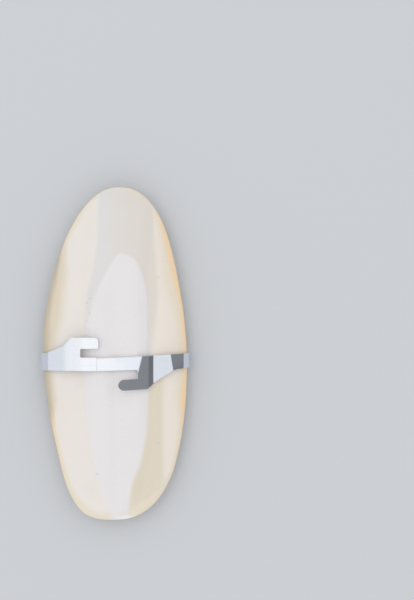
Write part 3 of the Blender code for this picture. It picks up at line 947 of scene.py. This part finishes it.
def plate_look(graph, settings):
    """Bright rolled plate: drawn grain along the strip, a painted reflection tint that turns bluer
    towards both sides, faint waves and fine scuffs."""
    strip = graph.node("ShaderNodeUVMap", {"uv_map": "strip"}, {})
    drawn = graph.noise(strip, *DRAWN_GRAIN)
    wave = graph.noise(strip, *PLATE_WAVES)
    x = graph.node("ShaderNodeSeparateXYZ", {}, [graph.place()], "X")
    # Painted reflection: the plate's colour turns bluer towards both sides, as its reflections do
    reflection_tint_share = x.step(*LEFT_REFLECTION_TINT) + x.step(*RIGHT_REFLECTION_TINT)
    scuffs = graph.noise(strip, *SCUFF_NOISE).step(*SCUFF_LEVELS)
    reflection_tinted = graph.mix(reflection_tint_share, (*settings.metal, 1.0), (*settings.painted_reflection_tint, 1.0))
    dull = scuffs * SCUFF_SHARE + drawn.step(*DRAWN_LEVELS) * DRAWN_SHARE
    return {
        "Base Color": graph.mix(dull, reflection_tinted, (*settings.scuff, 1.0)),
        "Metallic": 1.0,
        "Roughness": settings.roughness + drawn * DRAWN_ROUGHNESS + scuffs * SCUFF_ROUGHNESS,
        "Normal": graph.bump(wave + drawn * DRAWN_HEIGHT, *PLATE_BUMP),
    }


def floor_look(graph, settings):
    """Plain and matte, so that it keeps only soft shadows."""
    return {
        "Base Color": (*settings.floor, 1.0),
        "Roughness": FLOOR_ROUGHNESS,
        "Specular IOR Level": FLOOR_SPECULAR,
    }


def add_mesh(name, points, faces, material):
    """A smooth-shaded mesh at the origin, with its place in its own points."""
    mesh = bpy.data.meshes.new(name)
    mesh.from_pydata(points.tolist(), [], faces)
    mesh.materials.append(material)
    mesh.shade_smooth()
    mesh.update()
    made = bpy.data.objects.new(name, mesh)
    bpy.context.scene.collection.objects.link(made)
    return made


def colour_property(name, description, default):
    """A colour that the user can change."""
    return bpy.props.FloatVectorProperty(
        name=name, description=description, subtype="COLOR", default=default,
    )


class BoneSettings(bpy.types.PropertyGroup):
    stria_spacing: bpy.props.FloatProperty(
        name="Stria spacing", description="Distance between growth lines on the midline",
        default=0.8 * MM, precision=5, unit="LENGTH",
    )
    stria_depth: bpy.props.FloatProperty(
        name="Stria depth", description="Height of a growth line over the chalk",
        default=0.035 * MM, precision=6, unit="LENGTH",
    )
    chalk: colour_property("Chalk", "Colour of the striated zone", (0.835, 0.812, 0.82))
    loculus: colour_property(
        "Front chamber", "Colour of the smooth last chamber", (0.765, 0.748, 0.752)
    )
    shelf: colour_property(
        "Left shelf", "Colour of the pale band left of the core", (0.85, 0.806, 0.752)
    )
    shelf_right: colour_property(
        "Right shelf", "Colour of the pale band right of the core", (0.872, 0.80, 0.72)
    )
    tan: colour_property(
        "Tan band", "Colour of the band right of the rear core", (0.77, 0.70, 0.58)
    )
    # Left border and Left edge are shaded copies of the border's and edge's colours: painted shade
    # on the left
    border: colour_property(
        "Left border", "Colour of the cream border on the left", (0.77, 0.68, 0.545)
    )
    border_right: colour_property(
        "Right border", "Colour of the cream border on the right", (0.84, 0.76, 0.62)
    )
    shaded_left_edge: colour_property(
        "Left edge", "Colour of the thin horny edge on the left", (0.56, 0.49, 0.37)
    )
    amber: colour_property(
        "Right edge", "Colour of the thin horny edge on the right", (0.96, 0.70, 0.42)
    )
    back: colour_property("Hard back", "Tint of the hard back", (0.80, 0.71, 0.60))
    mottle: colour_property("Mottling", "Colour of the faint clouds", (0.70, 0.66, 0.62))
    pore: colour_property("Pores", "Colour inside pores, pits and nicks", (0.46, 0.43, 0.40))


class ClipSettings(bpy.types.PropertyGroup):
    plate: bpy.props.FloatProperty(
        name="Plate", description="Thickness of the plate",
        default=PLATE, precision=5, unit="LENGTH",
    )
    edge: bpy.props.FloatProperty(
        name="Edge", description="Width of the rounding on the stamped edges",
        default=0.11 * MM, precision=6, unit="LENGTH",
    )
    metal: colour_property("Metal", "Colour of the plate", (0.875, 0.90, 0.935))
    # painted reflection: the bluer colour that the plate's reflections drift to towards both sides
    painted_reflection_tint: colour_property("Tint", "Colour that the plate drifts to", (0.80, 0.845, 0.925))
    scuff: colour_property("Scuffs", "Colour of the dull scuffs", (0.62, 0.63, 0.65))
    roughness: bpy.props.FloatProperty(
        name="Roughness", description="Roughness of the bright plate",
        default=0.14, min=0.0, max=1.0,
    )


class StageSettings(bpy.types.PropertyGroup):
    floor: colour_property("Floor", "Colour of the floor", (0.64, 0.66, 0.69))
    surround: bpy.props.FloatProperty(
        name="Surround", description="Brightness of the white surround",
        default=0.86, min=0.0,
    )
    bright: bpy.props.FloatProperty(
        name="Bright patch", description="Brightness of the surround overhead to the left",
        default=1.03, min=0.0,
    )
    shade: bpy.props.FloatProperty(
        name="Unlit patch", description="Brightness of the unlit patch on the right",
        default=0.245, min=0.0,
    )
    dim: bpy.props.FloatProperty(
        name="Dim ends", description="Brightness of what the plate reflects past the bone's ends",
        default=0.42, min=0.0,
    )
    backdrop: bpy.props.FloatProperty(
        name="Backdrop", description="Brightness of the surround where the camera sees it",
        default=0.66, min=0.0,
    )
    key: bpy.props.FloatProperty(
        name="Key light", description="Power of the soft light overhead",
        default=0.8, min=0.0, unit="POWER",
    )


class CUTTLEBONE_OT_bone(bpy.types.Operator):
    """Adds the bone with its growth lines, pits and coloured zones"""

    bl_idname = "cuttlebone.bone"
    bl_label = "Cuttlebone"

    def execute(self, context):
        settings = context.scene.cuttlebone_bone
        points, masks = bone_surface(settings)
        tips = [[midline(end), end * BONE_LENGTH / 2.0, edge_height(1.0)] for end in (-1.0, 1.0)]
        points = np.concatenate([points, np.array(tips)])
        faces = ring_faces(RINGS, UPPER_COLUMNS + LOWER_COLUMNS)
        material = add_material("dry chalky bone", chalk_look, settings)
        made = add_mesh("cuttlebone_surface", points, faces, material)
        for name, mask in masks.items():
            values = np.concatenate([mask.ravel(), mask[[0, -1], 0]]).astype(np.float32)
            made.data.attributes.new(name, "FLOAT", "POINT").data.foreach_set("value", values)
        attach(made, "root")
        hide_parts("cuttlebone")
        return {"FINISHED"}


class CUTTLEBONE_OT_clip(bpy.types.Operator):
    """Adds the clip: one stamped strip, bent round the bone, with rounded edges"""

    bl_idname = "cuttlebone.clip"
    bl_label = "Cage clip"

    def execute(self, context):
        settings = context.scene.cuttlebone_clip
        points, faces, grain = clip_surface()
        material = add_material("bright rolled plate", plate_look, settings)
        made = add_mesh("clip_plate", points, faces.tolist(), material)
        strip = made.data.uv_layers.new(name="strip")
        corners = np.zeros(len(made.data.loops), np.int32)
        made.data.loops.foreach_get("vertex_index", corners)
        strip.data.foreach_set("uv", grain[corners].astype(np.float32).ravel())
        wall = made.modifiers.new("plate", "SOLIDIFY")
        wall.thickness = settings.plate
        wall.offset = 0.0
        edge = made.modifiers.new("edge", "BEVEL")
        edge.width = settings.edge
        edge.segments = EDGE_SEGMENTS
        edge.limit_method = "ANGLE"
        edge.angle_limit = math.radians(EDGE_ANGLE)
        made.modifiers.new("normals", "WEIGHTED_NORMAL")
        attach(made, "root")
        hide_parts("cage_clip")
        return {"FINISHED"}


class CUTTLEBONE_OT_stage(bpy.types.Operator):
    """Adds the pale floor, the soft surround, the key light and the camera"""

    bl_idname = "cuttlebone.stage"
    bl_label = "Stage"

    def execute(self, context):
        settings = context.scene.cuttlebone_stage
        self.add_floor(settings)
        self.add_surround(context.scene, settings)
        self.add_key(settings)
        self.add_camera(context.scene)
        context.scene.view_settings.view_transform = "Standard"
        return {"FINISHED"}

    def add_floor(self, settings):
        corners = np.array([(-1, -1, 0), (1, -1, 0), (1, 1, 0), (-1, 1, 0)]) * FLOOR_HALF_SIDE
        material = add_material("pale floor", floor_look, settings)
        floor = add_mesh("floor", corners, [(0, 1, 2, 3)], material)

    def add_surround(self, scene, settings):
        """Bright all round and brightest overhead to the left. Reflections see it unlit on the
        right and dim past both of the bone's ends, and the camera sees it evenly lit."""
        world = bpy.data.worlds.new("surround")
        scene.world = world
        graph = Graph(world)
        direction = graph.node("ShaderNodeTexCoord", {}, {}, "Generated")
        lit = self.patch(graph, direction, *LIT_PATCH) * (settings.bright - settings.surround)
        unlit = self.patch(graph, direction, *UNLIT_PATCH)
        unlit = unlit + self.patch(graph, direction, *DARKEST_PATCH) * DARKEST_EXTRA
        endward = graph.node("ShaderNodeSeparateXYZ", {}, [direction], "Y")
        past_ends = (endward * endward).step(*DIM_START) * (1.0 - unlit)
        dimming = past_ends * (settings.dim - settings.surround)
        reflected = graph.node("ShaderNodeLightPath", {}, {}, "Is Glossy Ray")
        unlit = unlit * (settings.shade - settings.surround)
        strength = settings.surround + lit + reflected * (unlit + dimming)
        seen = graph.node("ShaderNodeLightPath", {}, {}, "Is Camera Ray")
        strength = strength + seen * (settings.backdrop - strength)
        white = (1.0, 1.0, 1.0, 1.0)
        graph.fill(graph.tree.nodes["Background"], {"Color": white, "Strength": strength})

    def patch(self, graph, direction, lean, inner, outer):
        """1 within the inner angle of a direction that leans to the right of straight up, fading
        to 0 at the outer angle. Angles are in degrees."""
        lean, inner, outer = (math.radians(angle) for angle in (lean, inner, outer))
        towards = (math.sin(lean), 0.0, math.cos(lean))
        product = {"operation": "DOT_PRODUCT"}
        facing = graph.node("ShaderNodeVectorMath", product, [direction, towards], "Value")
        return facing.step(math.cos(outer), math.cos(inner))

    def add_key(self, settings):
        lamp = bpy.data.lights.new("key", "AREA")
        lamp.shape = "RECTANGLE"
        lamp.size = KEY_SIDE
        lamp.size_y = KEY_SIDE
        lamp.energy = settings.key
        made = bpy.data.objects.new("key", lamp)
        made.visible_glossy = False
        made.location = KEY_PLACE
        made.rotation_euler = (-Vector(KEY_PLACE)).to_track_quat("-Z", "Y").to_euler()
        bpy.context.scene.collection.objects.link(made)

    def add_camera(self, scene):
        """The lens spans the photograph's height at the bone's own scale, looking straight down."""
        camera = bpy.data.cameras.new("camera")
        camera.sensor_width = SENSOR
        camera.lens = SENSOR * CAMERA_DISTANCE / (FRAME_HEIGHT_PX * PIXEL)
        made = bpy.data.objects.new("camera", camera)
        x = (FRAME_WIDTH_PX / 2.0 - MIDDLE_PX[0]) * PIXEL
        y = (MIDDLE_PX[1] - FRAME_HEIGHT_PX / 2.0) * PIXEL
        made.location = (x, y, BONE_HIGH.z * SCALE_HEIGHT + CAMERA_DISTANCE)
        scene.collection.objects.link(made)
        scene.camera = made


class CUTTLEBONE_PT_panel(bpy.types.Panel):
    """The sizes and colours, and a button for each piece"""

    bl_label = "Cuttlebone"
    bl_idname = "CUTTLEBONE_PT_panel"
    bl_space_type = "VIEW_3D"
    bl_region_type = "UI"
    bl_category = "Cuttlebone"

    def draw(self, context):
        for group, _, operator in SECTIONS:
            box = self.layout.box()
            settings = getattr(context.scene, group)
            for name in settings.bl_rna.properties.keys():
                if name not in {"rna_type", "name"}:
                    box.prop(settings, name)
            box.operator(operator.bl_idname)


# Each piece's settings, by their name on the scene, and the operator that makes it
SECTIONS = (
    ("cuttlebone_bone", BoneSettings, CUTTLEBONE_OT_bone),
    ("cuttlebone_clip", ClipSettings, CUTTLEBONE_OT_clip),
    ("cuttlebone_stage", StageSettings, CUTTLEBONE_OT_stage),
)


def register():
    for group, settings, operator in SECTIONS:
        bpy.utils.register_class(settings)
        bpy.utils.register_class(operator)
        setattr(bpy.types.Scene, group, bpy.props.PointerProperty(type=settings))
    bpy.utils.register_class(CUTTLEBONE_PT_panel)


def unregister():
    bpy.utils.unregister_class(CUTTLEBONE_PT_panel)
    for group, settings, operator in reversed(SECTIONS):
        delattr(bpy.types.Scene, group)
        bpy.utils.unregister_class(operator)
        bpy.utils.unregister_class(settings)


def main():
    register()
    bpy.ops.cuttlebone.bone()
    bpy.ops.cuttlebone.clip()
    bpy.ops.cuttlebone.stage()
    bpy.context.view_layer.update()


if __name__ == "__main__":
    main()
